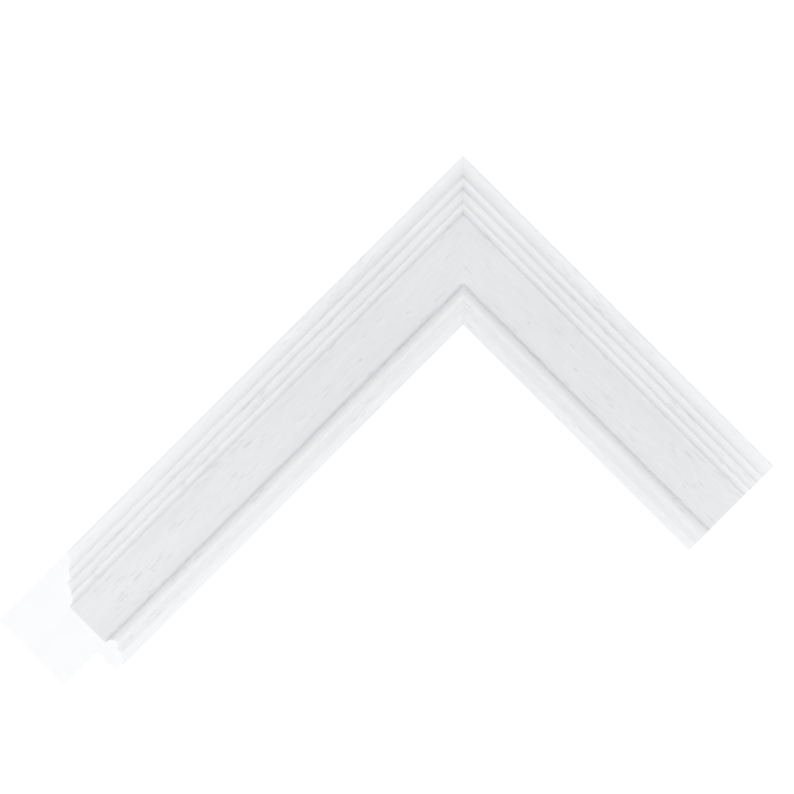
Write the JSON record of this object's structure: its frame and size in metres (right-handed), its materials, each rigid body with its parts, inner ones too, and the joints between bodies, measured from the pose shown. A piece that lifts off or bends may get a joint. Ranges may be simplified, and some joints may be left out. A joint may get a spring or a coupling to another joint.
{
  "type": "picture frame moulding",
  "caption": "Picture frame moulding joined into a mitred corner, with a rounded rim, reeds, a flat panel, a beaded sight edge and a rebate behind.",
  "frame": {"origin": "outer corner of the back, where the outer edges of both rails meet", "axes": "+X along the long rail, +Y along the short rail, +Z out of the face; the back lies on z = 0"},
  "size_m": [0.165, 0.11, 0.025],
  "materials": {
    "painted_wood": "satin white paint that lets the open grain show",
    "steel": "bright rolled strip"
  },
  "bodies": {
    "root": {"long_rail": "painted_wood", "short_rail": "painted_wood", "v_nail_outer": "steel", "v_nail_inner": "steel"}
  },
  "joints": []
}
